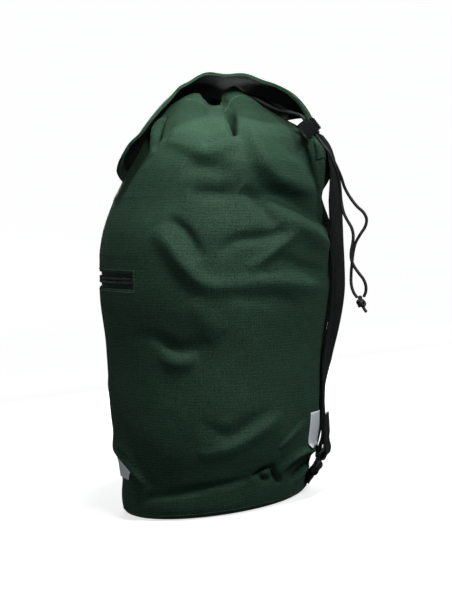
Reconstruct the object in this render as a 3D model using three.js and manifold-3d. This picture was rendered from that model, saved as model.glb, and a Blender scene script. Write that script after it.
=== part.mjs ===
// A tall drawstring stuff sack: a round tube of heavy cloth that leans back over its flat base,
// with a gathered mouth, a lid flap, a cord lock, a front zip pocket and one shoulder strap.
// Millimetres, +Z up, +Y towards the back (strap side), origin at the centre of the base.
//
// Most pieces are drawn on an upright sack and then bent by posture(), which leans the axis
// back and pushes the gathered top towards the strap, so neighbours stay clear of each other.
import * as THREE from 'three';
import { mergeVertices } from 'three/addons/utils/BufferGeometryUtils.js';
import Module from 'manifold-3d';

const wasm = await Module();
wasm.setup();

const deg = THREE.MathUtils.degToRad;

// Driving dimensions
const LEAN = deg(7.3); // lean of the sack's axis towards the back
const LEAN_HEIGHT = 110; // the rings turn from level to leaning over this height
const SEGMENTS = 40; // facets round the sack
const GAP = 0.3; // left between pieces that touch
const CLOTH = 2.0; // sack cloth with its seams
const LINER = 0.9; // lining cloth
const BASE_SEAM = 4; // height of the seam between base and tube
const MOUTH = 478; // height of the gathered rim along the axis
const CORD = 3.5; // drawcord diameter
const ZIP_HEIGHT = 267; // zip centre along the axis
const ZIP_RADIUS = 138; // the sack is round and true here, so the slider runs on an arc
const ZIP_SHIFT = 1.5; // push towards the back over the zip's height
const ZIP_WINDOW = 18; // height of the opening in the cloth
const ZIP_ANGLE = 60; // half angle of the opening, from the front
const STRAP_WIDTH = 45;
const STRAP_CLOTH = 2.4;
const FLAP_HALF = 97; // half width of the lid flap
const FLAP_ROOT = 38; // its half width at the hinge seam
const FLAP_CLOTH = 1.4; // outer cloth and lining are this thick each
const FLAP_GAP = 0.7; // left between them

// Outer outline of the upright sack: [radius, height]
const OUTLINE = [
  [0, 0], [101, 0], [108, BASE_SEAM], [111.5, 12], [112.3, 20], [112.5, 40], [122, 72], [128, 120],
  [130.5, 190], [ZIP_RADIUS, 245], [ZIP_RADIUS, 290], [135, 325], [123, 362], [120, 384],
  [117.5, 400], [111, 415], [104, 428], [90, 441], [64, 459], [45, 472], [29, MOUTH],
];
const BASE_POINTS = 3; // the first points of the outline belong to the base

// How far each height is pushed towards the back: [shift, height]
const SHIFT = [
  [0, 0], [1, 30], [4, 55], [3, 110], [ZIP_SHIFT, 180], [ZIP_SHIFT, 295], [4, 325], [5, 362],
  [13, 384], [19.5, 400], [22, 415], [22.5, 428], [17, 441], [8, 459], [3, 472], [0, MOUTH],
];

const lookUp = (table, height) => {
  let i = 1;
  while (i < table.length - 1 && table[i][1] < height) i += 1;
  const [a, b] = [table[i - 1], table[i]];
  const t = b[1] === a[1] ? 0 : (height - a[1]) / (b[1] - a[1]);
  return a[0] + (b[0] - a[0]) * Math.min(Math.max(t, 0), 1);
};
const radiusAt = (height) => lookUp(OUTLINE.slice(1), height);

// Bends a point of the upright sack (x, y, height) to where it is on the leaning sack.
const posture = (p) => {
  const tilt = LEAN * THREE.MathUtils.smoothstep(p.z, 0, LEAN_HEIGHT);
  const y = p.y + lookUp(SHIFT, p.z);
  return p.set(
    p.x,
    p.z * Math.sin(LEAN) + y * Math.cos(tilt),
    p.z * Math.cos(LEAN) - y * Math.sin(tilt),
  );
};

// Geometry helpers
const bend = (geometry, place) => {
  const at = geometry.attributes.position;
  const p = new THREE.Vector3();
  for (let i = 0; i < at.count; i += 1) {
    place(p.fromBufferAttribute(at, i));
    at.setXYZ(i, p.x, p.y, p.z);
  }
  return geometry;
};

// Welds a geometry, drops its flat triangles and turns its faces outwards.
const weld = (source) => {
  const bare = source.index ? source.toNonIndexed() : source.clone();
  for (const name of Object.keys(bare.attributes)) {
    if (name !== 'position') bare.deleteAttribute(name);
  }
  const welded = mergeVertices(bare, 1e-4);
  const kept = [];
  const at = welded.attributes.position;
  const [a, b, c] = [new THREE.Vector3(), new THREE.Vector3(), new THREE.Vector3()];
  let volume = 0;
  for (let i = 0; i < welded.index.count; i += 3) {
    const tri = [0, 1, 2].map((k) => welded.index.getX(i + k));
    if (new Set(tri).size < 3) continue;
    kept.push(...tri);
    a.fromBufferAttribute(at, tri[0]);
    b.fromBufferAttribute(at, tri[1]);
    c.fromBufferAttribute(at, tri[2]);
    volume += a.dot(b.cross(c));
  }
  welded.setIndex(volume < 0 ? kept.reverse() : kept);
  return welded;
};

const toManifold = (geometry) => {
  const welded = weld(geometry);
  return new wasm.Manifold(new wasm.Mesh({
    numProp: 3,
    vertProperties: new Float32Array(welded.attributes.position.array),
    triVerts: new Uint32Array(welded.index.array),
  }));
};
const toGeometry = (manifold) => {
  const mesh = manifold.getMesh();
  const geometry = new THREE.BufferGeometry();
  geometry.setAttribute('position', new THREE.BufferAttribute(mesh.vertProperties, 3));
  geometry.setIndex(new THREE.BufferAttribute(mesh.triVerts, 1));
  return geometry;
};
const cut = (geometry, ...tools) => toGeometry(
  tools.reduce((left, tool) => left.subtract(toManifold(tool)), toManifold(geometry)),
);
const join = (geometry, ...others) => toGeometry(
  others.reduce((sum, other) => sum.add(toManifold(other)), toManifold(geometry)),
);

// Moves an outline sideways, to its inner side for a positive distance.
const inset = (outline, distance) => outline.map((point, i) => {
  const before = outline[Math.max(i - 1, 0)];
  const after = outline[Math.min(i + 1, outline.length - 1)];
  const along = new THREE.Vector2(after[0] - before[0], after[1] - before[1]).normalize();
  return [Math.max(point[0] - along.y * distance, 0), point[1] + along.x * distance];
});

// A shell of revolution between two outlines, both drawn from the bottom up.
const shell = (outer, inner, segments = SEGMENTS) => {
  const ring = [...outer, ...[...inner].reverse()];
  const closed = ring[0][0] === 0 && ring[ring.length - 1][0] === 0 ? ring : [...ring, ring[0]];
  const points = closed.map(([radius, height]) => new THREE.Vector2(radius, height));
  return new THREE.LatheGeometry(points, segments).rotateX(Math.PI / 2).rotateZ(deg(90));
};

// A curved block on a cylinder round the axis; angles in degrees from the front towards +X.
const sector = (inner, outer, low, high, from, to) => {
  const step = 360 / SEGMENTS;
  const angles = [from];
  for (let a = Math.ceil((from + 0.01) / step) * step; a < to - 0.01; a += step) angles.push(a);
  angles.push(to);
  const at = (radius, angle) => new THREE.Vector2(
    radius * Math.sin(deg(angle)),
    -radius * Math.cos(deg(angle)),
  );
  const outline = [...angles.map((a) => at(outer, a)), ...angles.reverse().map((a) => at(inner, a))];
  return new THREE.ExtrudeGeometry(new THREE.Shape(outline), {
    depth: high - low,
    bevelEnabled: false,
  }).translate(0, 0, low);
};

// A patch lying on the upright sack: width along the ring, height up the outline.
const patch = (width, height, thickness, angle, middle, lift, columns = 6, rows = 4) => bend(
  new THREE.BoxGeometry(width, height, thickness, columns, rows, 1),
  (p) => {
    const level = middle + p.y;
    const slope = Math.atan2(radiusAt(level + 1) - radiusAt(level - 1), 2);
    const out = lift + thickness / 2 + p.z;
    const radius = radiusAt(level) + out / Math.max(Math.cos(slope), 0.5);
    const turn = deg(angle) + p.x / radiusAt(middle);
    return p.set(radius * Math.sin(turn), -radius * Math.cos(turn), level);
  },
);

// Draws a side view, given as points in (y, z), out along X, centred on x = 0.
const ACROSS = new THREE.Matrix4().makeBasis(
  new THREE.Vector3(0, 1, 0),
  new THREE.Vector3(0, 0, 1),
  new THREE.Vector3(1, 0, 0),
);
const extrudeAcross = (outline, width, holes = []) => {
  const shape = new THREE.Shape(outline);
  shape.holes = holes.map((hole) => new THREE.Path(hole));
  return new THREE.ExtrudeGeometry(shape, { depth: width, bevelEnabled: false })
    .translate(0, 0, -width / 2)
    .applyMatrix4(ACROSS);
};

// A strip of webbing: its side view is a curve in (y, z), drawn out sideways to a width.
const strip = (points, thickness, width, samples) => {
  const curve = new THREE.CatmullRomCurve3(points.map(([y, z]) => new THREE.Vector3(y, z, 0)));
  const sides = [[], []];
  for (let i = 0; i <= samples; i += 1) {
    const at = curve.getPointAt(i / samples);
    const along = curve.getTangentAt(i / samples);
    sides[0].push(new THREE.Vector2(at.x - along.y * thickness / 2, at.y + along.x * thickness / 2));
    sides[1].push(new THREE.Vector2(at.x + along.y * thickness / 2, at.y - along.x * thickness / 2));
  }
  return extrudeAcross([...sides[0], ...sides[1].reverse()], width);
};

// A plain round cord along a list of points.
const CORD_SIDES = 8;
const cord = (points, steps) => {
  const section = new THREE.Shape(Array.from({ length: CORD_SIDES }, (_, i) => {
    const turn = (i / CORD_SIDES) * 2 * Math.PI;
    return new THREE.Vector2(Math.cos(turn) * CORD / 2, Math.sin(turn) * CORD / 2);
  }));
  const route = new THREE.CatmullRomCurve3(points.map((p) => new THREE.Vector3(...p)));
  return new THREE.ExtrudeGeometry(section, { steps, extrudePath: route, bevelEnabled: false });
};

const round = (radius, length, sides = 12) => new THREE.CylinderGeometry(radius, radius, length, sides);

// Materials
const paint = (color, roughness, metalness = 0) => new THREE.MeshStandardMaterial({
  color,
  roughness,
  metalness,
});
const greenCloth = () => paint(0x2d4034, 0.85);
const blackCloth = () => paint(0x070b0a, 0.9);
const webbing = () => paint(0x0a1011, 0.8);
const blackPlastic = () => paint(0x0c0d0e, 0.35);
const zipCloth = () => paint(0x1f2927, 0.85);
const blackMetal = () => paint(0x202225, 0.35, 0.9);

const sack = new THREE.Group();
const add = (name, geometry, material) => {
  const mesh = new THREE.Mesh(weld(geometry), material);
  mesh.name = name;
  sack.add(mesh);
  return mesh;
};
const addBent = (name, geometry, material) => add(name, bend(geometry, posture), material);

// Tube, base and lining
const tubeOuter = OUTLINE.slice(BASE_POINTS - 1);
const allInner = inset(OUTLINE, CLOTH);
const tubeInner = allInner.slice(BASE_POINTS - 1);
const zipWindow = sector(
  ZIP_RADIUS - 12,
  ZIP_RADIUS + 8,
  ZIP_HEIGHT - ZIP_WINDOW / 2,
  ZIP_HEIGHT + ZIP_WINDOW / 2,
  -ZIP_ANGLE,
  ZIP_ANGLE,
);
addBent('body_panel', cut(shell(tubeOuter, tubeInner), zipWindow), greenCloth());

const lowered = (outline, drop) => outline.map(([radius, height], i) => (
  i === outline.length - 1 ? [radius, height - drop] : [radius, height]
));
addBent(
  'base_panel',
  shell(lowered(OUTLINE.slice(0, BASE_POINTS), GAP), lowered(allInner.slice(0, BASE_POINTS), GAP)),
  greenCloth(),
);

// The lining hangs clear of the zip pocket, which lies between it and the cloth.
const POCKET_LOW = 150;
const POCKET_TOP = 286;
const POCKET_ROOM = 9;
const LINING_TOP = 470;
const LINING_STEPS = [0, 1, 2, 4, 5, 6, 7, 8, 10, 12, 15, 17, 19]; // outline points it follows
const liningLine = inset(OUTLINE, CLOTH + 2 * GAP).map(([radius, height]) => [
  height > POCKET_LOW - 40 && height < POCKET_TOP + 20 ? radius - POCKET_ROOM : radius,
  height,
]);
const lining = LINING_STEPS.map((i) => liningLine[i]).filter(([, height]) => height < LINING_TOP);
addBent('lining', shell(lining, inset(lining, LINER)), blackCloth());

// Mouth hem: a folded tube of cloth round the rim, with the drawcord inside
const HEM_TUBE = 4.4;
const HEM_CHANNEL = 2.9;
const HEM_RADIUS = 27;
const HEM_HEIGHT = MOUTH + HEM_TUBE + 0.6;
const HEM_SIDES = 10;
const EYELET_ANGLE = 22; // each eyelet's place, from the back
const ringOf = (radius, sides) => {
  const points = Array.from({ length: sides + 1 }, (_, i) => {
    const turn = ((i % sides) / sides) * 2 * Math.PI;
    return [HEM_RADIUS + radius * Math.cos(turn), HEM_HEIGHT + radius * Math.sin(turn)];
  });
  return new THREE.LatheGeometry(points.map(([x, y]) => new THREE.Vector2(x, y)), SEGMENTS)
    .rotateX(Math.PI / 2);
};
const EYELET_HOLE = 2.5;
// Something round whose axis points out of the hem at an eyelet, at a distance from the axis.
const atEyelet = (geometry, side, distance) => geometry
  .translate(0, distance, 0)
  .rotateZ(-side * deg(EYELET_ANGLE))
  .translate(0, 0, HEM_HEIGHT);
addBent(
  'mouth_hem',
  cut(
    ringOf(HEM_TUBE, HEM_SIDES),
    ringOf(HEM_CHANNEL, HEM_SIDES),
    atEyelet(round(EYELET_HOLE, 8), 1, HEM_RADIUS + 5),
    atEyelet(round(EYELET_HOLE, 8), -1, HEM_RADIUS + 5),
  ),
  greenCloth(),
);
const EYELET_RIM = 4.2;
const EYELET_THICK = 1.2;
for (const [name, side] of [['eyelet_left', -1], ['eyelet_right', 1]]) {
  const rim = round(EYELET_RIM, EYELET_THICK, 16);
  const ring = cut(
    atEyelet(rim, side, HEM_RADIUS + HEM_TUBE + GAP + EYELET_THICK / 2),
    atEyelet(round(EYELET_HOLE, 20), side, HEM_RADIUS + HEM_TUBE),
  );
  addBent(name, ring, blackMetal());
}

// Drawcord: a loop inside the hem, then two runs that leave it through the eyelets, cross the
// back of the gathers, pass through the cord lock and hang to a shared knot.
const LOOP_END = 148; // where the loop stops inside the hem, from the front
const LOOP_POINTS = 18;
const onHem = (angle, distance) => posture(new THREE.Vector3(
  distance * Math.sin(deg(angle)),
  -distance * Math.cos(deg(angle)),
  HEM_HEIGHT,
)).toArray();
const loopRoute = Array.from(
  { length: LOOP_POINTS + 1 },
  (_, i) => onHem(LOOP_END * ((2 * i) / LOOP_POINTS - 1), HEM_RADIUS),
);
add('drawcord_in_hem', cord(loopRoute, 2 * LOOP_POINTS), blackCloth());

// The cord lock's frame: the cords run along its y axis, and the button faces its z axis.
const LOCK_AT = new THREE.Vector3(62, 178.4, 419);
const LOCK_SLOPE = deg(60); // the cords' fall through the lock
const lock = new THREE.Group();
lock.position.copy(LOCK_AT);
lock.rotation.x = -LOCK_SLOPE;
sack.add(lock);
const inLock = (x, y, z) => new THREE.Vector3(x, y, z)
  .applyEuler(lock.rotation)
  .add(LOCK_AT)
  .toArray();
const CORD_SPREAD = 1.95; // half the distance between the two cords in the lock
const STRAIGHT_IN = -16; // the cords are straight from here...
const STRAIGHT_OUT = 34; // ...to here, so that the lock can slide

const runLeft = [
  onHem(180 + EYELET_ANGLE, HEM_RADIUS + 4),
  onHem(180 + EYELET_ANGLE, HEM_RADIUS + 12),
  [-8, 112, 470], [6, 130, 459.5], [22, 143.7, 450.5], [36, 153.5, 443.5], [48, 162, 438],
  inLock(-CORD_SPREAD, STRAIGHT_IN, 0), inLock(-CORD_SPREAD, STRAIGHT_IN + 8, 0),
  inLock(-CORD_SPREAD, 9, 0), inLock(-CORD_SPREAD, STRAIGHT_OUT - 8, 0),
  inLock(-CORD_SPREAD, STRAIGHT_OUT, 0),
  [55, 200.5, 375], [47, 204, 361], [42, 206, 349], [40, 210, 338], [38, 217, 325.5],
  [36, 223, 318], [34, 225.5, 310], [33, 223, 302], [32, 216, 293.5], [31, 209.5, 284.7],
  [30, 205.5, 274.5], [30, 202.7, 263], [30, 200, 250], [30, 198.7, 238], [30, 200.2, 229],
  [30, 203.4, 222.6],
];
const runRight = [
  onHem(180 - EYELET_ANGLE, HEM_RADIUS + 4),
  onHem(180 - EYELET_ANGLE, HEM_RADIUS + 12),
  [22, 110, 468], [30, 124, 458], [38, 137, 449], [46, 149, 443], [55, 160, 438.5],
  inLock(CORD_SPREAD, STRAIGHT_IN, 0), inLock(CORD_SPREAD, STRAIGHT_IN + 8, 0),
  inLock(CORD_SPREAD, 9, 0), inLock(CORD_SPREAD, STRAIGHT_OUT - 8, 0),
  inLock(CORD_SPREAD, STRAIGHT_OUT, 0),
  [59, 199.5, 375], [52, 201.5, 361], [47, 201.5, 348], [43, 200.5, 334], [41, 201.5, 320],
  [40, 204.5, 311], [40, 208, 302.5], [39, 208.8, 294], [38, 207, 285], [37, 204, 276],
  [36, 203, 267], [35, 205, 258.5], [34, 209, 250.5], [33, 213.5, 242.5], [32.5, 215.2, 234.5],
  [31.5, 214, 227.5], [31, 211.2, 222.6],
];
const RUN_STEPS = 54;
add('drawcord_run_left', cord(runLeft, RUN_STEPS), blackCloth());
add('drawcord_run_right', cord(runRight, RUN_STEPS), blackCloth());

const KNOT_RADIUS = 6;
const KNOT_TAIL = 13;
const knot = add(
  'cord_knot',
  join(
    new THREE.SphereGeometry(KNOT_RADIUS, 12, 8),
    round(CORD / 2, KNOT_TAIL, CORD_SIDES).translate(0, -KNOT_TAIL / 2, 0).rotateX(deg(35)),
  ),
  blackCloth(),
);
knot.rotation.x = deg(90);
knot.position.set(30.5, 207.3, 215.6);

// Cord lock: a hollow body, a sprung button with a slot that pinches the cords, and its spring
const LOCK_WIDTH = 18;
const LOCK_LENGTH = 20;
const LOCK_TOP = 5.2;
const LOCK_FLOOR = -9.4;
const LOCK_WALL = 1.2;
const BUTTON_TRAVEL = 3;
const BUTTON_TOP = 9;
const HOLE_HALF = CORD / 2 + GAP;
const HOLE_WIDTH = 2 * CORD_SPREAD + CORD + 2 * GAP;
const block = (width, length, low, high) => new THREE.BoxGeometry(width, length, high - low)
  .translate(0, 0, (low + high) / 2);
const addTo = (group, name, geometry, material) => group.add(add(name, geometry, material));
addTo(lock, 'cord_lock_body', cut(
  block(LOCK_WIDTH, LOCK_LENGTH, LOCK_FLOOR, LOCK_TOP),
  block(LOCK_WIDTH - 4 * LOCK_WALL, LOCK_LENGTH - 4 * LOCK_WALL, LOCK_FLOOR + LOCK_WALL, LOCK_TOP + 1),
  block(HOLE_WIDTH, LOCK_LENGTH + 2, -HOLE_HALF, HOLE_HALF),
), blackPlastic());
const BUTTON_WIDTH = LOCK_WIDTH - 4 * LOCK_WALL - 2 * GAP;
const BUTTON_LENGTH = LOCK_LENGTH - 4 * LOCK_WALL - 2 * GAP;
const BUTTON_FLOOR = -HOLE_HALF - 2.2;
const RIBS = 5;
const ribs = Array.from({ length: RIBS }, (_, i) => block(
  BUTTON_WIDTH - 1,
  1.2,
  BUTTON_TOP - 0.5,
  BUTTON_TOP + 0.6,
).translate(0, (i - (RIBS - 1) / 2) * 2.6, 0));
addTo(lock, 'cord_lock_button', join(
  cut(
    block(BUTTON_WIDTH, BUTTON_LENGTH, BUTTON_FLOOR, BUTTON_TOP),
    block(HOLE_WIDTH, BUTTON_LENGTH + 2, -HOLE_HALF, HOLE_HALF + BUTTON_TRAVEL),
  ),
  ...ribs,
), blackPlastic());
const SPRING_RADIUS = 3;
const SPRING_WIRE = 0.35;
const SPRING_TURNS = 2.5;
const springFoot = LOCK_FLOOR + LOCK_WALL + GAP + SPRING_WIRE;
const springHead = BUTTON_FLOOR - GAP - SPRING_WIRE;
class Helix extends THREE.Curve {
  getPoint(t, target = new THREE.Vector3()) {
    const turn = t * SPRING_TURNS * 2 * Math.PI;
    return target.set(
      SPRING_RADIUS * Math.cos(turn),
      SPRING_RADIUS * Math.sin(turn),
      springFoot + (springHead - springFoot) * t,
    );
  }
}
const wire = new THREE.Shape(Array.from({ length: 6 }, (_, i) => new THREE.Vector2(
  SPRING_WIRE * Math.cos(deg(60 * i)),
  SPRING_WIRE * Math.sin(deg(60 * i)),
)));
addTo(lock, 'cord_lock_spring', new THREE.ExtrudeGeometry(wire, {
  steps: 30,
  extrudePath: new Helix(),
  bevelEnabled: false,
}), blackMetal());

// Lid flap: outer cloth over a black lining. Its middle line runs from the hinge seam at the
// back, over the gathers and down the front; its sides droop and its front corners are short.
const HINGE = [172.5, 420.5];
const flapLine = new THREE.CatmullRomCurve3([
  HINGE, [172, 430], [170.5, 443], [166, 456], [157, 469], [140, 481], [115, 488], [85, 491],
  [55, 491.5], [35, 489.5], [15, 480.5], [-2, 468], [-18, 453.5], [-36, 434], [-50, 415], [-65, 394],
].map(([y, z]) => new THREE.Vector3(0, y, z)));
const FLAP_LENGTH = flapLine.getLength();
const CORNER_CUT = 34;
const TOP_DROOP = 3;
const FRONT_DROOP = 8;
const smooth = THREE.MathUtils.smoothstep;
const flapPlace = (x, along, out) => {
  const u = along * FLAP_LENGTH;
  const half = FLAP_ROOT + (FLAP_HALF - FLAP_ROOT) * smooth(u, 12, 100);
  const side = x * half;
  const far = (side / FLAP_HALF) ** 2;
  const shortened = THREE.MathUtils.clamp(along - (CORNER_CUT / FLAP_LENGTH) * far * along ** 2, 0, 1);
  const at = flapLine.getPointAt(shortened);
  const t = flapLine.getTangentAt(shortened);
  const droop = (TOP_DROOP * smooth(u, 20, 90) + FRONT_DROOP * smooth(u, 140, 220)) * far;
  const lift = out - droop;
  return new THREE.Vector3(side, at.y + t.z * lift, at.z - t.y * lift);
};
const FLAP_COLUMNS = 6;
const FLAP_ROWS = 22;
const flapLayer = (low) => bend(
  new THREE.BoxGeometry(2, 1, FLAP_CLOTH, FLAP_COLUMNS, FLAP_ROWS, 1),
  (p) => p.copy(flapPlace(p.x, p.y + 0.5, low + FLAP_CLOTH / 2 + p.z)),
);
add('flap_lining', flapLayer(0), blackCloth());
add('flap_panel', flapLayer(FLAP_CLOTH + FLAP_GAP), greenCloth());

// Press stud under the flap's front edge; distances are from the flap's underside.
const SNAP_ALONG = 0.935;
const snapAt = flapPlace(0, SNAP_ALONG, 0);
const snapFacing = flapPlace(0, SNAP_ALONG, 1).sub(snapAt);
const snap = new THREE.Group();
snap.position.copy(snapAt);
snap.quaternion.setFromUnitVectors(new THREE.Vector3(0, 1, 0), snapFacing);
sack.add(snap);
const disc = (radius, low, high) => round(radius, high - low, 16).translate(0, (low + high) / 2, 0);
const FLAP_THICK = 2 * FLAP_CLOTH + FLAP_GAP;
addTo(snap, 'flap_snap_cap', disc(6, FLAP_THICK + GAP, FLAP_THICK + 1.5), blackMetal());
addTo(snap, 'flap_snap_socket', disc(5, -1.2, -GAP), blackMetal());
addTo(snap, 'body_snap_stud', disc(5, -2.6, -1.5), blackMetal());

// Shoulder strap with its anchor patch, ladder lock and lower webbing, all at x = 0
const PATCH_CLOTH = 1.2;
addBent(
  'strap_anchor_patch',
  patch(2 * FLAP_ROOT + 8, 34, PATCH_CLOTH, 180, 420, GAP + 0.4, 6, 4),
  greenCloth(),
);
// The ladder lock's frame: y runs down the strap, z faces away from the sack.
const ladder = new THREE.Group();
ladder.position.set(0, 131.5, 36.5);
ladder.rotation.x = -deg(116.6);
sack.add(ladder);
const byLadder = (y, z) => {
  const p = new THREE.Vector3(0, y, z).applyEuler(ladder.rotation).add(ladder.position);
  return [p.y, p.z];
};
const LADDER_HALF = 12;
const BAR = 3;
const RAIL = 3;
const RAIL_AT = STRAP_WIDTH / 2 + 2;
const BARS = [-LADDER_HALF + BAR / 2, 0, LADDER_HALF - BAR / 2];
const rail = (side) => block(RAIL, 2 * LADDER_HALF, -2, 2)
  .translate(side * (RAIL_AT + RAIL / 2), 0, 0);
const bars = BARS.map((y) => block(2 * RAIL_AT + 1, BAR, -BAR / 2, BAR / 2).translate(0, y, 0));
addTo(ladder, 'ladder_lock', join(rail(-1), rail(1), ...bars), blackPlastic());

const strapLine = [
  [181, 415], [187, 403], [190.3, 388], [191, 372], [190.4, 355], [189, 335], [187.3, 312],
  [185.2, 290], [182.8, 262], [180, 230], [175.5, 204], [169, 178], [161.5, 152], [154, 120],
  [148.5, 90], byLadder(-32, -3), byLadder(-20, -3.6), byLadder(-12, -3.6), byLadder(-6.8, -2),
  byLadder(-5.2, 2.4), byLadder(-7.5, 6.4), byLadder(-14, 8), byLadder(-26, 7.2), byLadder(-44, 4),
  byLadder(-64, 3), byLadder(-84, 5),
];
add('strap', strip(strapLine, STRAP_CLOTH, STRAP_WIDTH, 90), webbing());
const LOOP_PLY = 2;
const pivot = BARS[2];
const loopLine = [
  [116.2, 12], [118, 18], byLadder(pivot + 4, -4), byLadder(pivot, -4.4), byLadder(pivot - 3.2, -3),
  byLadder(pivot - 4.4, 0), byLadder(pivot - 3.2, 3), byLadder(pivot, 4.4), byLadder(pivot + 4, 4),
  [124.5, 15], [119.5, 11],
];
add('lower_webbing', strip(loopLine, LOOP_PLY, STRAP_WIDTH - 3, 36), webbing());

// Front zip: everything lies on arcs round the leaning axis
const TAPE = [ZIP_RADIUS - CLOTH - 1.6, ZIP_RADIUS - CLOTH - 0.6];
const COIL = [TAPE[1] + GAP, TAPE[1] + GAP + 1.9];
const TAPE_GAP = 1.5;
const COIL_HEIGHT = 3.8;
const CHAIN_ANGLE = ZIP_ANGLE - 1.5;
const STOP_ANGLE = 1;
for (const [name, side] of [['upper', 1], ['lower', -1]]) {
  const band = (radii, near, far, angle) => sector(
    ...radii,
    ZIP_HEIGHT + Math.min(side * near, side * far),
    ZIP_HEIGHT + Math.max(side * near, side * far),
    -angle,
    angle,
  );
  addBent(`zip_tape_${name}`, band(TAPE, TAPE_GAP, 17, ZIP_ANGLE + 2), zipCloth());
  addBent(`zip_coil_${name}`, band(COIL, GAP / 2, GAP / 2 + COIL_HEIGHT, CHAIN_ANGLE), zipCloth());
}
for (const [name, side] of [['left', -1], ['right', 1]]) {
  const ends = [side * (CHAIN_ANGLE + 0.15), side * (CHAIN_ANGLE + 0.15 + STOP_ANGLE)];
  addBent(`zip_stop_${name}`, sector(
    ...COIL,
    ZIP_HEIGHT - COIL_HEIGHT,
    ZIP_HEIGHT + COIL_HEIGHT,
    Math.min(...ends),
    Math.max(...ends),
  ), blackMetal());
}

// The slider straddles the closed chain, and its puller is held by the bail. Here y is the travel
// direction, x runs down the sack and z faces out.
const SLIDER_ANGLE = -54;
const sliderRadius = COIL[1] + 2 * GAP;
const slider = new THREE.Group();
const carriage = new THREE.Group();
carriage.position.fromArray(posture(new THREE.Vector3(0, 0, ZIP_HEIGHT)).toArray());
carriage.rotation.x = -LEAN;
slider.rotation.z = deg(SLIDER_ANGLE);
const tangent = new THREE.Group();
tangent.matrixAutoUpdate = false;
tangent.matrix.makeBasis(
  new THREE.Vector3(0, 0, -1),
  new THREE.Vector3(1, 0, 0),
  new THREE.Vector3(0, -1, 0),
).setPosition(0, -sliderRadius, 0);
sack.add(carriage);
carriage.add(slider);
slider.add(tangent);
const PLATE = 1.4;
const PLATE_LENGTH = 11;
const PLATE_HALF = COIL_HEIGHT + GAP / 2 + 2;
const cheek = (side) => block(1.6, PLATE_LENGTH - 1, -1.8, 0.5)
  .translate(side * (PLATE_HALF - 0.8), 0, 0);
const bail = cut(
  block(2.2, 9, PLATE - 0.3, PLATE + 3),
  block(4, 5.6, PLATE, PLATE + 2.2),
);
addTo(tangent, 'zip_slider', join(
  block(2 * PLATE_HALF, PLATE_LENGTH, 0, PLATE),
  cheek(-1),
  cheek(1),
  bail,
), blackMetal());
const PULL_THICK = 1.2;
const PULL_LENGTH = 24;
const pullLevel = PLATE + 1.1;
addTo(tangent, 'zip_puller', cut(
  block(7, PULL_LENGTH, pullLevel - PULL_THICK / 2, pullLevel + PULL_THICK / 2)
    .translate(0, PULL_LENGTH / 2 - 0.6, 0),
  block(4.4, 4.8, 0, 2 * pullLevel).translate(0, 3, 0),
), blackMetal());

// Zip pocket: a flat bag behind the zip, open where the zip is
const POCKET_ANGLE = 63;
const POCKET_THICK = 3.6;
const POCKET_CLOTH = 0.8;
const pocketBlock = (thickness, lift, trim) => patch(
  2 * deg(POCKET_ANGLE - trim) * radiusAt(POCKET_LOW + 68),
  POCKET_TOP - POCKET_LOW - 2 * trim,
  thickness,
  0,
  POCKET_LOW + 68,
  lift,
  14,
  6,
);
const pocketLift = -(CLOTH + 1.6 + GAP + POCKET_THICK);
const pocketMouth = sector(
  TAPE[0] - 3,
  TAPE[0] + 1,
  ZIP_HEIGHT - 5,
  ZIP_HEIGHT + 5,
  -CHAIN_ANGLE + 3,
  CHAIN_ANGLE - 3,
);
addBent('zip_pocket_bag', cut(
  pocketBlock(POCKET_THICK, pocketLift, 0),
  pocketBlock(POCKET_THICK - 2 * POCKET_CLOTH, pocketLift + POCKET_CLOTH, 1.5),
  pocketMouth,
), blackCloth());

// Blank woven labels: one beside the strap, one low on the front
const LABEL = 0.7;
const LABEL_LIFT = 0.9;
const labelCloth = () => paint(0xc8cccc, 0.7);
addBent('side_label', patch(26, 44, LABEL, 171, 92, LABEL_LIFT, 4, 4), labelCloth());
addBent('front_label', patch(60, 20, LABEL, 38, 57, LABEL_LIFT, 8, 3), labelCloth());

export default sack;
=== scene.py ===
# A tall drawstring stuff sack in heavy dark green cloth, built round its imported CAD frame.
import math

import bpy
import numpy as np
from mathutils import Matrix, Vector


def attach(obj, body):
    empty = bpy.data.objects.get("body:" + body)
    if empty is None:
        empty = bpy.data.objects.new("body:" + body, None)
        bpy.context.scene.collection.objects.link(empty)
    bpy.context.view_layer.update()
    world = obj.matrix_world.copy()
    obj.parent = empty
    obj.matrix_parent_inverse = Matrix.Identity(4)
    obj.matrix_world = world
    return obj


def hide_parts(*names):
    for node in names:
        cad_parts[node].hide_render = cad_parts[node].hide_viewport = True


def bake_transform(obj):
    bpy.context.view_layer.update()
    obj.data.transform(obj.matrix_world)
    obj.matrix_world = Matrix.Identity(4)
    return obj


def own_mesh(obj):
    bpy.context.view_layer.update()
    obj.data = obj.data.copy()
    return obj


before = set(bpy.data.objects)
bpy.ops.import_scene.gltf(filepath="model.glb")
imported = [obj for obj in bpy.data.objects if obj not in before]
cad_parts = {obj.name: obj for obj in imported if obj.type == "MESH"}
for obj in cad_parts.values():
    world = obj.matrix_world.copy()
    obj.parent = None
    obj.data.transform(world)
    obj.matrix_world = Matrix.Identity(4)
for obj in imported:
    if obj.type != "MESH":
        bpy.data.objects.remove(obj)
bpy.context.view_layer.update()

MM = 0.001
TINY = 1e-9


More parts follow.
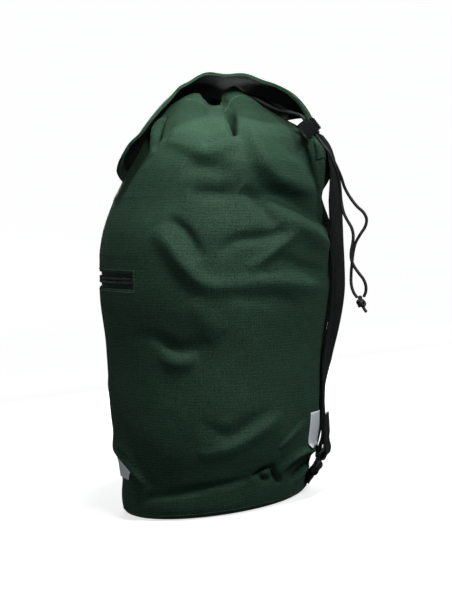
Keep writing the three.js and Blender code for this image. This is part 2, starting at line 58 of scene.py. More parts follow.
# ---- the sack's own coordinates
# A point is (x, y, height) of an upright sack, in millimetres. posture() leans it towards +Y.
LEAN = math.radians(7.3)
LEAN_HEIGHT = 110
MOUTH = 478
OUTLINE = [  # radius, height
    (104, 0.6), (108.5, 3), (111.5, 8), (113, 16), (113.2, 26), (113, 38), (116, 52), (122, 72),
    (126, 95), (128, 120), (130.5, 190), (137, 240), (138, 258), (138, 276), (137.5, 295),
    (135, 325), (123, 362), (120, 384), (117.5, 400), (111, 415), (104, 428), (90, 441),
    (64, 459), (45, 472), (29, MOUTH),
]
SHIFT = [  # push towards the back, height
    (0, 0), (1, 30), (4, 55), (3, 110), (1.5, 180), (1.5, 295), (4, 325), (5, 362), (13, 384),
    (19.5, 400), (22, 415), (22.5, 428), (17, 441), (8, 459), (3, 472), (0, MOUTH),
]


def smoothstep(low, high, x):
    t = np.clip((np.asarray(x, float) - low) / (high - low), 0, 1)
    return t * t * (3 - 2 * t)


def shift_at(height):
    return np.interp(height, [h for _, h in SHIFT], [s for s, _ in SHIFT])


def posture(points):
    x, y, w = np.moveaxis(np.asarray(points, float), -1, 0)
    tilt = LEAN * smoothstep(0, LEAN_HEIGHT, w)
    y = y + shift_at(w)
    back = w * math.sin(LEAN) + y * np.cos(tilt)
    up = w * math.cos(LEAN) - y * np.sin(tilt)
    return np.stack([x, back, up], -1)


def between(a, b, start, end, t):
    return (end - t) / (end - start) * a + (t - start) / (end - start) * b


def catmull(points, count):
    """A smooth line through the points, as count places evenly spaced along it."""
    p = np.asarray(points, float)
    p = np.vstack([2 * p[0] - p[1], p, 2 * p[-1] - p[-2]])
    knots = np.concatenate([[0], np.cumsum(np.sqrt(np.linalg.norm(np.diff(p, axis=0), axis=1)))])
    fine = []
    for i in range(1, len(p) - 2):
        t0, t1, t2, t3 = knots[i - 1:i + 3]
        t = np.linspace(t1, t2, 24, endpoint=False)[:, None]
        a1 = between(p[i - 1], p[i], t0, t1, t)
        a2 = between(p[i], p[i + 1], t1, t2, t)
        a3 = between(p[i + 1], p[i + 2], t2, t3, t)
        b1 = between(a1, a2, t0, t2, t)
        b2 = between(a2, a3, t1, t3, t)
        fine.append(between(b1, b2, t1, t2, t))
    return resample(np.vstack(fine + [p[-2:-1]]), count)


def run_of(line):
    """How far along a line each of its points is."""
    return np.concatenate([[0], np.cumsum(np.linalg.norm(np.diff(line, axis=0), axis=1))])


def resample(line, count):
    line = np.asarray(line, float)
    run = run_of(line)
    at = np.linspace(0, run[-1], count)
    return np.stack([np.interp(at, run, line[:, k]) for k in range(line.shape[1])], -1)


def line_length(line):
    return float(run_of(line)[-1])


def unit(vectors):
    return vectors / np.linalg.norm(vectors, axis=-1, keepdims=True)


def ring_point(radius, turn, height):
    """Upright points on circles about the sack's middle line; turn is in radians from -Y to +X."""
    return np.stack(np.broadcast_arrays(radius * np.sin(turn), -radius * np.cos(turn), height), -1)


# ---- camera, light and floor
CAMERA_AT = (1.4581, 0.3546, 0.2837)
CAMERA_AZIMUTH, CAMERA_PITCH, CAMERA_ROLL = (math.radians(d) for d in (102, 1.8, 7.3))
LENS, SENSOR = 75, 36
WARM = (1, 0.99, 0.96)
COOL = (0.97, 1, 1)


def make_camera():
    data = bpy.data.cameras.new("camera")
    data.lens, data.sensor_width = LENS, SENSOR
    camera = bpy.data.objects.new("camera", data)
    bpy.context.scene.collection.objects.link(camera)
    ahead = Vector((-math.sin(CAMERA_AZIMUTH), math.cos(CAMERA_AZIMUTH), 0))
    across = ahead.cross(Vector((0, 0, 1)))
    look = ahead * math.cos(CAMERA_PITCH) - Vector((0, 0, math.sin(CAMERA_PITCH)))
    above = across.cross(look)
    right = across * math.cos(CAMERA_ROLL) - above * math.sin(CAMERA_ROLL)
    up = across * math.sin(CAMERA_ROLL) + above * math.cos(CAMERA_ROLL)
    rows = [(right[i], up[i], -look[i], CAMERA_AT[i]) for i in range(3)]
    camera.matrix_world = Matrix((*rows, (0, 0, 0, 1)))
    bpy.context.scene.camera = camera


def light(kind, name, place, target, power, color, **settings):
    data = bpy.data.lights.new(name, kind)
    data.energy = power
    data.color = color
    for key, value in settings.items():
        setattr(data, key, value)
    lamp = bpy.data.objects.new(name, data)
    bpy.context.scene.collection.objects.link(lamp)
    lamp.location = place
    lamp.rotation_euler = (Vector(target) - Vector(place)).to_track_quat("-Z", "Y").to_euler()


def disk_light(name, place, target, size, power, color):
    light("AREA", name, place, target, power, color, shape="DISK", size=size)


def make_stage():
    """A pale floor that curves up into a backdrop all round, and soft studio light."""
    scene = bpy.context.scene
    scene.view_settings.view_transform = "Standard"
    world = bpy.data.worlds.new("studio")
    scene.world = world
    world.use_nodes = True
    background = world.node_tree.nodes["Background"]
    background.inputs["Color"].default_value = (0.92, 0.97, 1, 1)
    background.inputs["Strength"].default_value = 0.1
    flat, bend, wall = 5.0, 1.5, 6.0
    profile = [(0, 0), (flat * 0.5, 0), (flat, 0)]
    for turn in np.linspace(0, math.pi / 2, 9)[1:]:
        profile.append((flat + bend * math.sin(turn), bend * (1 - math.cos(turn))))
    profile.append((flat + bend, wall))
    turns = np.linspace(0, 2 * math.pi, 64, endpoint=False)
    points = np.array([[(r * math.cos(a), r * math.sin(a), z) for a in turns] for r, z in profile])
    faces = grid_faces(len(profile), len(turns), wrap=True)
    cyclorama = object_from("studio_floor", points.reshape(-1, 3) / MM, faces)
    material, n = new_material("pale_floor", (0.42,) * 3, 0.9)
    # Painted light: the floor and backdrop glow by their own emission, fainter near the middle and
    # brighter farther out, so they show white without lighting the sack.
    reach = n.add("ShaderNodeVectorMath", {0: n.place()}, operation="LENGTH")
    glow = n.greys(n.math("MULTIPLY", reach.outputs["Value"], 0.4), [(0.12, 0.72), (0.8, 0.94)])
    n.surface({"Emission Color": glow, "Emission Strength": 1, "Specular IOR Level": 0})
    cyclorama.data.materials.append(material)
    cyclorama.visible_diffuse = False
    cyclorama.visible_glossy = False
    disk_light("top", (0.36, 0.2, 1.12), (0.03, 0.03, 0.3), 0.16, 7, WARM)
    light(
        "SPOT", "mouth", (0.95, 0.45, 0.6), (0.03, 0.05, 0.5), 120, WARM,
        spot_size=math.radians(14.5), spot_blend=1, shadow_soft_size=0.05,
    )
    disk_light("back", (0.62, 1.0, 1.0), (0, 0.05, 0.25), 0.35, 11, COOL)
    disk_light("front", (1.6, -1.0, 0.5), (0, 0, 0.22), 1.0, 4, COOL)
    disk_light("far", (-1.46, -0.36, 0.6), (0, 0, 0.25), 0.8, 24, COOL)


# ---- mesh helpers
def object_from(name, vertices, faces, uv=None):
    """vertices in millimetres; uv has one (u, v) per vertex, also in millimetres."""
    mesh = bpy.data.meshes.new(name)
    mesh.from_pydata((np.asarray(vertices, float) * MM).tolist(), [], faces)
    mesh.polygons.foreach_set("use_smooth", [True] * len(mesh.polygons))
    if uv is not None:
        layer = mesh.uv_layers.new(name="cloth")
        corner = np.zeros(len(mesh.loops), np.int32)
        mesh.loops.foreach_get("vertex_index", corner)
        layer.data.foreach_set("uv", (np.asarray(uv, float)[corner] * MM).ravel())
    mesh.update()
    piece = bpy.data.objects.new(name, mesh)
    bpy.context.scene.collection.objects.link(piece)
    return piece


def grid_faces(rows, columns, wrap=False, start=0, flip=False, skip=None):
    """Quads of a grid whose vertices count from start; wrap joins the last column to the first."""
    faces = []
    for i in range(rows - 1):
        for j in range(columns if wrap else columns - 1):
            if skip is not None and skip[i, j]:
                continue
            k = (j + 1) % columns
            quad = [i * columns + j, i * columns + k, (i + 1) * columns + k, (i + 1) * columns + j]
            quad = [start + q for q in quad]
            faces.append(quad[::-1] if flip else quad)
    return faces


def dress(piece, material, body, nodes=()):
    """Gives a piece its material, the body it rides on and the CAD nodes it stands for."""
    piece.data.materials.append(materials[material])
    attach(piece, body)
    if nodes:
        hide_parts(*nodes)
    return piece


def slab(name, top, bottom, uv):
    """A closed sheet between two grids of points (rows, columns, 3), joined round the edges."""
    rows, columns = top.shape[:2]
    count = rows * columns
    faces = grid_faces(rows, columns) + grid_faces(rows, columns, start=count, flip=True)
    rim = [(0, j) for j in range(columns)] + [(i, columns - 1) for i in range(1, rows)]
    rim += [(rows - 1, j) for j in range(columns - 2, -1, -1)] + [(i, 0) for i in range(rows - 2, 0, -1)]
    rim = [i * columns + j for i, j in rim]
    for a, b in zip(rim, rim[1:] + rim[:1]):
        faces.append([b, a, a + count, b + count])
    uv = np.vstack([uv.reshape(-1, 2)] * 2)
    return object_from(name, np.vstack([top.reshape(-1, 3), bottom.reshape(-1, 3)]), faces, uv)


def normals_of(points):
    """Unit normals of a grid of points whose last column meets the first."""
    along = np.gradient(points, axis=0)
    across = (np.roll(points, -1, axis=1) - np.roll(points, 1, axis=1)) / 2
    normal = np.cross(across, along)
    return normal / np.maximum(np.linalg.norm(normal, axis=-1, keepdims=True), TINY)


def frames_along(path):
    """Tangents and two steady side directions along a path."""
    tangent = unit(np.gradient(path, axis=0))
    side = np.cross(tangent[0], (0, 0, 1))
    if np.linalg.norm(side) < 1e-3:
        side = np.cross(tangent[0], (0, 1, 0))
    sides = [unit(side)]
    for t in tangent[1:]:
        sides.append(unit(sides[-1] - t * np.dot(sides[-1], t)))
    sides = np.array(sides)
    return tangent, sides, np.cross(tangent, sides)


def tube_parts(path, radius, sides=12, relief=None):
    """Vertices, faces and uv of a closed tube; relief(run, turn) adds to its radius."""
    path = np.asarray(path, float)
    tangent, a, b = frames_along(path)
    turn = np.linspace(0, 2 * math.pi, sides, endpoint=False)
    run = run_of(path)
    r = np.full((len(path), sides), radius, float)
    if relief is not None:
        r = r + relief(run[:, None], turn[None, :])
    ring = path[:, None] + r[..., None] * (
        np.cos(turn)[None, :, None] * a[:, None] + np.sin(turn)[None, :, None] * b[:, None]
    )
    count = len(path) * sides
    ends = [path[0] - tangent[0] * radius * 0.5, path[-1] + tangent[-1] * radius * 0.5]
    vertices = np.vstack([ring.reshape(-1, 3), ends])
    faces = grid_faces(len(path), sides, wrap=True)
    for j in range(sides):
        k = (j + 1) % sides
        faces.append([k, j, count])
        faces.append([count - sides + j, count - sides + k, count + 1])
    uv = np.stack(np.broadcast_arrays(run[:, None], turn[None, :] * radius), -1).reshape(-1, 2)
    uv = np.vstack([uv, [[0, 0], [run[-1], 0]]])
    return vertices, faces, uv


def tube(name, path, radius, sides=12, relief=None):
    return object_from(name, *tube_parts(path, radius, sides, relief))


def merged(name, parts):
    """One object of several (vertices, faces, uv) parts."""
    vertices, faces, uv, start = [], [], [], 0
    for v, f, u in parts:
        vertices.append(v)
        faces.extend([[start + q for q in face] for face in f])
        uv.append(u)
        start += len(v)
    return object_from(name, np.vstack(vertices), faces, np.vstack(uv))


STITCH, STITCH_GAP, THREAD_RADIUS = 2.6, 1.1, 0.3


def stitch_parts(line, normal):
    """Rounded stitches lying along a line of points, each sunk a little at its ends."""
    run = run_of(line)
    total = run[-1]
    count = max(int(total / (STITCH + STITCH_GAP)), 1)

    def at(distance, table):
        return np.array([np.interp(distance, run, table[:, k]) for k in range(3)])

    parts = []
    for i in range(count):
        middle = (i + 0.5) * total / count
        path = np.array([
            at(middle + s * STITCH, line) + at(middle, normal) * THREAD_RADIUS * (0.9 - 4.4 * s * s)
            for s in np.linspace(-0.5, 0.5, 6)
        ])
        parts.append(tube_parts(path, THREAD_RADIUS, 6))
    return parts


def stitches(name, lines):
    """lines is a list of (points, normals)."""
    parts = [part for line, normal in lines for part in stitch_parts(line, normal)]
    dress(merged(name, parts), "thread", "sack")


# ---- materials
def new_material(name, color, roughness, metallic=0.0):
    material = bpy.data.materials.new(name)
    material.use_nodes = True
    n = Nodes(material)
    n.surface({"Base Color": (*color, 1), "Roughness": roughness, "Metallic": metallic})
    return material, n


class Nodes:
    """Short calls for building a material's node tree."""

    def __init__(self, material):
        self.tree = material.node_tree
        self.shader = self.tree.nodes["Principled BSDF"]

    def feed(self, node, inputs):
        """Sets inputs of a node, each to a value or another node's output."""
        for key, value in inputs.items():
            if isinstance(value, bpy.types.NodeSocket):
                self.tree.links.new(value, node.inputs[key])
            else:
                node.inputs[key].default_value = value

    def add(self, kind, inputs=None, **settings):
        node = self.tree.nodes.new(kind)
        for key, value in settings.items():
            setattr(node, key, value)
        self.feed(node, inputs or {})
        return node

    def surface(self, inputs):
        self.feed(self.shader, inputs)

    def scaled(self, vector, scale):
        mapping = self.add("ShaderNodeMapping", {"Vector": vector, "Scale": scale})
        return mapping.outputs["Vector"]

    def uv(self, scale=(1, 1, 1)):
        return self.scaled(self.add("ShaderNodeUVMap", uv_map="cloth").outputs["UV"], scale)

    def place(self):
        return self.scaled(self.add("ShaderNodeTexCoord").outputs["Object"], (1, 1, 1))

    def noise(self, vector, scale, detail, roughness):
        return self.add("ShaderNodeTexNoise", {
            "Vector": vector, "Scale": scale, "Detail": detail, "Roughness": roughness,
        }).outputs["Fac"]

    def wave(self, vector, scale, direction, distortion, detail_scale):
        return self.add("ShaderNodeTexWave", {
            "Vector": vector, "Scale": scale, "Distortion": distortion,
            "Detail Scale": detail_scale,
        }, wave_type="BANDS", bands_direction=direction).outputs["Fac"]

    def ramp(self, value, stops):
        node = self.add("ShaderNodeValToRGB", {"Fac": value})
        ramp = node.color_ramp
        for (place, color), element in zip(stops, ramp.elements):
            element.position = place
            element.color = (*color, 1)
        for place, color in stops[2:]:
            ramp.elements.new(place).color = (*color, 1)
        return node.outputs["Color"]

    def greys(self, value, stops):
        """A ramp through greys, whose stops are (place, brightness)."""
        return self.ramp(value, [(place, (grey,) * 3) for place, grey in stops])

    def math(self, operation, a, b):
        return self.add("ShaderNodeMath", {0: a, 1: b}, operation=operation).outputs[0]

    def total(self, terms):
        """Sum of (value, weight) terms."""
        parts = [self.math("MULTIPLY", value, weight) for value, weight in terms]
        total = parts[0]
        for part in parts[1:]:
            total = self.math("ADD", total, part)
        return total

    def tint(self, color, shade):
        settings = {"data_type": "RGBA", "blend_type": "MULTIPLY"}
        return self.add("ShaderNodeMix", {0: 1.0, 6: color, 7: shade}, **settings).outputs[2]

    def bump(self, heights):
        """heights is a list of (value, distance in metres), stacked."""
        normal = None
        for value, distance in heights:
            inputs = {"Height": value, "Distance": distance, "Strength": 1.0}
            if normal is not None:
                inputs["Normal"] = normal
            normal = self.add("ShaderNodeBump", inputs).outputs["Normal"]
        self.surface({"Normal": normal})


def canvas(name, dark, light, sheen, roughness=0.62, slub=1.0):
    """Heavy plain-weave canvas: threads both ways, heavier weft lines, flecks, broad mottling and a
    worn, uneven gloss.
    """
    material, n = new_material(name, light, roughness)
    thread = n.uv()
    warp = n.wave(thread, 430, "X", 0.5, 3)
    weft = n.wave(thread, 470, "Y", 0.5, 3)
    flecks = n.noise(n.uv((520, 660, 1)), 1.0, 3, 0.7)
    slubs = n.noise(n.uv((60, 560, 1)), 1.0, 2, 0.5)
    rises = n.noise(n.uv((560, 60, 1)), 1.0, 2, 0.5)
    rows = n.wave(thread, 92, "Y", 0.8, 12)
    columns = n.wave(thread, 104, "X", 0.8, 12)
    patchy = n.noise(n.uv((30, 60, 1)), 1.0, 3, 0.6)
    broad = n.noise(thread, 14, 3, 0.6)
    slub_lines = n.greys(slubs, [(0.38, 0), (0.64, 1)])
    rise_lines = n.greys(rises, [(0.38, 0), (0.64, 1)])
    fleck_dots = n.greys(flecks, [(0.36, 0), (0.64, 1)])
    row_lines = n.math("MULTIPLY", n.greys(rows, [(0.0, 1), (0.4, 0)]), patchy)
    column_lines = n.math("MULTIPLY", n.greys(columns, [(0.0, 1), (0.4, 0)]), patchy)
    mixed = n.total([
        (warp, 0.1), (weft, 0.1), (fleck_dots, 0.6), (slub_lines, 0.14 * slub),
        (rise_lines, 0.1 * slub), (row_lines, -0.34 * slub), (column_lines, -0.16 * slub),
    ])
    base = n.ramp(mixed, [(0.05, dark), (0.95, light)])
    aged = n.greys(broad, [(0.3, 0.86), (0.7, 1.12)])
    worn = n.greys(mixed, [(0.1, roughness + 0.12), (0.9, roughness - 0.12)])
    n.surface({
        "Base Color": n.tint(base, aged), "Roughness": worn, "Sheen Weight": sheen,
        "Sheen Roughness": 0.42, "Sheen Tint": (0.55, 0.85, 0.68, 1), "Specular IOR Level": 0.2,
    })
    n.bump([(slub_lines, 0.00004 * slub), (flecks, 0.0003), (warp, 0.0001), (weft, 0.0001)])
    return material


def webbing_cloth(name, dark, light, pitch=900):
    """Close flat weave with a fine herringbone."""
    material, n = new_material(name, light, 0.6)
    thread = n.uv()
    ribs = n.wave(thread, pitch, "Y", 0.4, 2)
    chevron = n.wave(n.uv((1, 0.55, 1)), pitch * 0.7, "DIAGONAL", 0.3, 2)
    grain = n.noise(thread, 1500, 2, 0.6)
    broad = n.noise(thread, 30, 2, 0.6)
    mixed = n.total([(ribs, 0.35), (chevron, 0.3), (grain, 0.3)])
    base = n.ramp(mixed, [(0.25, dark), (0.8, light)])
    aged = n.greys(broad, [(0.3, 0.8), (0.75, 1.2)])
    n.surface({
        "Base Color": n.tint(base, aged), "Sheen Weight": 0.03, "Sheen Roughness": 0.4,
        "Specular IOR Level": 0.2,
    })
    n.bump([(ribs, 0.00016), (chevron, 0.00012), (grain, 0.00006)])
    return material


def plain_surface(name, dark, light, roughness, metallic=0.0, scale=500.0):
    """Moulded plastic, plated metal or thread: fine grain, slight mottling and worn gloss."""
    material, n = new_material(name, light, roughness, metallic)
    where = n.place()
    grain = n.noise(where, scale, 3, 0.6)
    broad = n.noise(where, 60, 3, 0.6)
    worn = n.greys(grain, [(0.3, roughness - 0.08), (0.8, roughness + 0.12)])
    n.surface({"Base Color": n.ramp(broad, [(0.3, dark), (0.75, light)]), "Roughness": worn})
    n.bump([(grain, 0.00004)])
    return material


def label_cloth(name):
    """White satin-woven label tape with fine cross ribs."""
    material, n = new_material(name, (0.45, 0.48, 0.5), 0.55)
    thread = n.uv()
    ribs = n.wave(thread, 700, "Y", 0.2, 2)
    grain = n.noise(thread, 900, 3, 0.6)
    mixed = n.total([(ribs, 0.5), (grain, 0.5)])
    shade = n.ramp(mixed, [(0.2, (0.7, 0.74, 0.78)), (0.8, (0.84, 0.88, 0.92))])
    n.surface({"Base Color": shade, "Sheen Weight": 0.15})
    n.bump([(ribs, 0.0001), (grain, 0.00006)])
    return material


materials = {
    "canvas": canvas("green_canvas", (0.004, 0.019, 0.009), (0.03, 0.082, 0.048), 0.06),
    "lining": canvas("black_lining", (0.0006, 0.0011, 0.001), (0.003, 0.0052, 0.0045), 0.01, 0.7, 0.5),
    "webbing": webbing_cloth("black_webbing", (0.001, 0.0018, 0.002), (0.0035, 0.006, 0.0064)),
    "tape": webbing_cloth("zip_tape", (0.012, 0.02, 0.018), (0.034, 0.05, 0.046), 1300),
    "cord": plain_surface("cord_braid", (0.004, 0.004, 0.0045), (0.013, 0.012, 0.014), 0.62, 0, 2500),
    "coil": plain_surface("zip_coil", (0.012, 0.015, 0.015), (0.035, 0.042, 0.042), 0.34),
    "plastic": plain_surface("black_plastic", (0.003, 0.003, 0.0035), (0.007, 0.007, 0.008), 0.24),
    "metal": plain_surface("plated_metal", (0.05, 0.052, 0.055), (0.11, 0.112, 0.118), 0.3, 1.0, 300),
    "thread": plain_surface("green_thread", (0.04, 0.085, 0.06), (0.075, 0.145, 0.105), 0.5, 0, 2500),
    "label": label_cloth("white_label"),
}


def cad_looks(names, material, soft=0.45):
    """Gives CAD nodes a material and rounds their edges by soft millimetres."""
    for name in names:
        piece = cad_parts[name]
        piece.data.materials.clear()
        piece.data.materials.append(materials[material])
        weld = piece.modifiers.new("weld", "WELD")
        weld.merge_threshold = 0.00002
        bevel = piece.modifiers.new("soft_edges", "BEVEL")
        bevel.width = soft * MM
        bevel.segments = 3
        bevel.limit_method = "ANGLE"
        bevel.angle_limit = math.radians(35)


make_camera()
make_stage()


# ---- drawcord
HEM_HEIGHT = MOUTH + 5
CORD = 3.5
LOCK_AT = np.array([62, 178.4, 419])
LOCK_SLOPE = math.radians(60)
LOCK_DOWN = np.array([0, math.cos(LOCK_SLOPE), -math.sin(LOCK_SLOPE)])  # the way the cords run
LOCK_OUT = np.array([0, math.sin(LOCK_SLOPE), math.cos(LOCK_SLOPE)])  # the way the button faces
CORD_SPREAD = 1.95


def on_hem(angle, distance):
    return posture(ring_point(distance, math.radians(angle), HEM_HEIGHT))


def in_lock(x, y):
    return LOCK_AT + np.array([x, 0, 0]) + LOCK_DOWN * y


def lock_run(x):
    return [in_lock(x, y) for y in (-16, -8, 9, 26, 34)]


RUN_LEFT = [
    on_hem(202, 31), on_hem(202, 39),
    (-8, 112, 470), (6, 130, 459.5), (22, 143.7, 450.5), (36, 153.5, 443.5), (48, 162, 438),
    *lock_run(-CORD_SPREAD),
    (55, 200.5, 375), (47, 204, 361), (42, 206, 349), (40, 210, 338), (38, 217, 325.5),
    (36, 223, 318), (34, 225.5, 310), (33, 223, 302), (32, 216, 293.5), (31, 209.5, 284.7),
    (30, 205.5, 274.5), (30, 202.7, 263), (30, 200, 250), (30, 198.7, 238), (30, 200.2, 229),
    (30, 203.4, 222.6),
]
RUN_RIGHT = [
    on_hem(158, 31), on_hem(158, 39),
    (22, 110, 468), (30, 124, 458), (38, 137, 449), (46, 149, 443), (55, 160, 438.5),
    *lock_run(CORD_SPREAD),
    (59, 199.5, 375), (52, 201.5, 361), (47, 201.5, 348), (43, 200.5, 334), (41, 201.5, 320),
    (40, 204.5, 311), (40, 208, 302.5), (39, 208.8, 294), (38, 207, 285), (37, 204, 276),
    (36, 203, 267), (35, 205, 258.5), (34, 209, 250.5), (33, 213.5, 242.5), (32.5, 215.2, 234.5),
    (31.5, 214, 227.5), (31, 211.2, 222.6),
]
KNOT_AT = np.array([30.5, 207.3, 215.6])


def braid(run, turn):
    """Relief of a round braid: two sets of strands that cross."""
    return 0.16 * np.sin(4 * turn + run * 2.4) * np.sin(4 * turn - run * 2.4)


def make_knot():
    """An overhand knot tied in both cords, with one short cut end."""
    t = np.linspace(0, 2 * math.pi, 150)
    ring = 2.5 + 1.5 * np.cos(3 * t)
    loop = np.stack([ring * np.cos(2 * t), ring * np.sin(2 * t), 2.9 * np.sin(3 * t)], -1)
    tail = np.array([(0.5, 1.5, -3), (0.8, 2.6, -6.5), (0.6, 4.6, -10.5)])
    neck = np.array([(0, -0.4, 8), (0.2, -0.6, 4.5), (0.3, 0, 1)])
    parts = [
        tube_parts(KNOT_AT + loop, 1.85, 16, braid),
        tube_parts(KNOT_AT + catmull(tail, 24), 1.7, 16, braid),
        tube_parts(KNOT_AT + catmull(neck, 16), 2.4, 16, braid),
    ]
    return dress(merged("cord_end_knot", parts), "cord", "sack", ["cord_knot"])


knot = make_knot()
for name, node, route, on_it in (
    ("cord_run_left", "drawcord_run_left", RUN_LEFT, ["cord_lock_body", "cord_lock_button"]),
    ("cord_run_right", "drawcord_run_right", RUN_RIGHT, [knot]),
):
    path = catmull(route, 700)
    cord = dress(tube(name, path, CORD / 2 - 0.05, 16, braid), "cord", "sack", [node])


# ---- sack cloth
ROWS = 300
COLUMNS = 420
ZIP_LOW, ZIP_TOP, ZIP_ANGLE = 258, 276, 60
ZIP_HEIGHT = (ZIP_LOW + ZIP_TOP) / 2
MM_PER_DEGREE = 2.4  # round the sack at the zip
GATHER_FROM = 404  # height where the cloth starts to draw in to the mouth
CLOTH = 1.3
SACK_RADIUS = 128
outline = catmull(OUTLINE, 1200)


def outline_at(height):
    return np.interp(height, outline[:, 1], outline[:, 0])


def from_front(azimuth):
    """Degrees from the front, to either side."""
    return np.abs((azimuth + 180) % 360 - 180)


def skin(azimuth, height):
    """Upright point on the plain sack, azimuth in degrees from the front towards +X."""
    return ring_point(outline_at(height), np.radians(azimuth), height)


# The rim of the gathered mouth: azimuth, radius, height
RIM = [
    (0, 36, 471), (20, 41, 476), (40, 37, 480), (58, 33, 483), (72, 31, 481), (84, 38, 474),
    (93, 51, 467), (104, 49, 468), (112, 33, 472), (119, 23, 476), (128, 27, 484), (140, 38, 490),
    (151, 40, 487), (162, 36, 482), (180, 30, 479), (200, 30, 480), (218, 37, 483), (232, 25, 476),
    (247, 40, 482), (262, 26, 476), (280, 42, 482), (297, 27, 475), (315, 42, 482), (337, 27, 474),
]

# The strap is laid out here because the cloth under it is pressed in.
STRAP_WIDTH = 45
STRAP_ROOM = 3.6  # from the strap's middle line to the cloth
LADDER_AT = np.array([131.5, 36.5])
LADDER_TURN = math.radians(-116.6)


def by_ladder(y, z):
    """A point given in the ladder lock's own directions."""
    c, s = math.cos(LADDER_TURN), math.sin(LADDER_TURN)
    return (LADDER_AT[0] + y * c - z * s, LADDER_AT[1] + y * s + z * c)


STRAP_LINE = [  # (y, z) from the anchor, down to the ladder lock and back up as the tail
    (181, 415), (187, 403), (190.3, 388), (191, 372), (190.4, 355), (189, 335), (187.3, 312),
    (185.2, 290), (182.5, 262), (178.4, 230), (172.3, 204), (164.4, 178), (155.8, 152), (147.4, 120),
    (143.2, 90), by_ladder(-31.4, -4.7), by_ladder(-20, -3.6), by_ladder(-12, -3.6), by_ladder(-6.8, -2),
    by_ladder(-5.2, 2.4), by_ladder(-7.5, 6.4), by_ladder(-14, 6.2), by_ladder(-24, 0.6),
    (144.5, 66), (145.3, 75), (146.3, 84), (147, 89),
]
STRAP_ONE_WAY = 18  # points of STRAP_LINE down to the ladder lock
LOOP_LINE = [
    (115.4, 12), (118.4, 19.5), by_ladder(13.5, -3.6), by_ladder(10.5, -4.4), by_ladder(7.3, -3),
    by_ladder(6.1, 0), by_ladder(7.3, 3), by_ladder(10.5, 4.4), by_ladder(13.5, 3.4),
    (122.4, 21.5), (118.2, 12.5),
]
# Turn of the strap about its own line: (distance along it, degrees).
TWIST = [
    (0, 0), (45, 2), (80, 12), (180, 13), (235, 10), (270, 6), (300, -4), (322, -5), (345, -2),
    (365, 0), (430, 0), (455, 3), (900, 4),
]


# Folds of the cloth: a path as (height, azimuth), the fold's height, and its width on the
# path's two sides. FOLD_DEPTH and FOLD_WIDTH scale every height and width.
FOLD_DEPTH = 1.8
FOLD_WIDTH = 0.85
FOLDS = [
    ([(466, 126), (428, 114), (406, 117), (386, 126), (372, 140), (364, 160), (360, 176)], 5.5, 20, 11),
    ([(440, 121), (429, 129), (416, 138), (400, 152), (392, 160)], -3.5, 14, 14),
    ([(368, 122), (361, 139), (346, 154), (334, 172), (330, 186)], -4.5, 10, 10),
    ([(352, 126), (340, 134), (326, 147), (308, 166), (300, 182)], 4.5, 11, 14),
    ([(368, 112), (356, 122), (340, 127), (330, 131)], -3.2, 9, 9),
    ([(424, 58), (417, 73), (408, 88), (415, 98), (424, 106)], 3.6, 24, 9),
    ([(396, 76), (394, 92), (386, 104)], -2.8, 12, 12),
    ([(366, 86), (364, 104), (366, 112)], -2.4, 10, 10),
    ([(338, 76), (327, 85), (311, 91), (292, 96)], -3.2, 8, 9),
    ([(326, 71), (306, 81), (284, 89), (267, 97), (262, 110)], 4.2, 10, 13),
    ([(250, 92), (226, 98), (208, 104)], 1.6, 16, 16),
    ([(300, 103), (313, 112), (317, 125), (323, 136)], -2.8, 9, 9),
    ([(280, 117), (295, 126), (310, 135), (320, 143)], 2.6, 8, 9),
    ([(277, 124), (290, 134), (282, 148), (272, 172)], -2.8, 9, 10),
    ([(262, 106), (268, 126), (263, 148), (258, 176)], 2.8, 10, 14),
    ([(252, 102), (252, 114), (247, 134), (236, 148)], -1.2, 9, 9),
    ([(204, 58), (205, 70), (194, 81), (194, 90), (203, 99)], -2.6, 10, 8),
    ([(186, 72), (178, 84), (184, 94)], 2.0, 10, 10),
    ([(112, 92), (98, 108), (114, 121), (124, 132)], -1.6, 10, 10),
    ([(74, 92), (84, 109), (106, 127), (120, 137)], 2.2, 8, 12),
    ([(76, 136), (90, 143), (108, 154)], 1.6, 4, 6),
    ([(330, 18), (300, 21), (240, 22), (190, 20), (120, 24)], 0.9, 4, 4),
]
CREASES = [
    ([(24, 50), (30, 78), (34, 96), (37, 110), (41, 122)], -3.4, 7, 4),
    ([(41, 122), (50, 130), (52, 136)], -4.5, 5, 4),
    ([(46, 126), (38, 130), (33, 136)], -3.2, 4, 4),
    ([(52, 134), (38, 138), (26, 143)], -3.6, 4, 4),
    ([(30, 142), (44, 142), (58, 146), (66, 156), (58, 178)], 4.5, 7, 6),
    ([(26, 151), (37, 163), (41, 176), (41, 188)], -7.0, 5, 4),
    ([(22, 156), (34, 168), (40, 180)], 3.0, 6, 8),
    ([(64, 20), (59, 34), (50, 43), (36, 49), (22, 53)], -5.0, 7, 6),
    ([(80, 16), (74, 42), (57, 52), (40, 58)], 2.6, 8, 8),
    ([(453, 43), (437, 48), (422, 51)], -9.0, 2.4, 3.0),
    ([(455, 39), (436, 43), (418, 47), (408, 52)], 3.2, 5, 6),
    ([(482, 117), (462, 109), (444, 104), (428, 101)], -17.0, 5.5, 4.5),
    ([(74, 20), (68, 34), (59, 46), (45, 55), (28, 61)], 4.5, 6, 7),
    ([(424, 160), (404, 162), (386, 166), (366, 172)], 3.4, 3, 9),
    ([(424, 166), (404, 168), (386, 173), (370, 179)], -3.2, 4, 4),
    ([(410, 180), (392, 184), (374, 188)], 3.0, 12, 12),
    ([(70, 168), (58, 180), (52, 194)], 2.5, 8, 5),
    ([(474, 160), (462, 162), (452, 164)], -3.0, 5, 5),
    ([(440, 152), (424, 158), (408, 163), (390, 168)], 2.6, 4, 3),
    ([(414, 86), (424, 95), (429, 104)], -1.6, 5, 4),
]
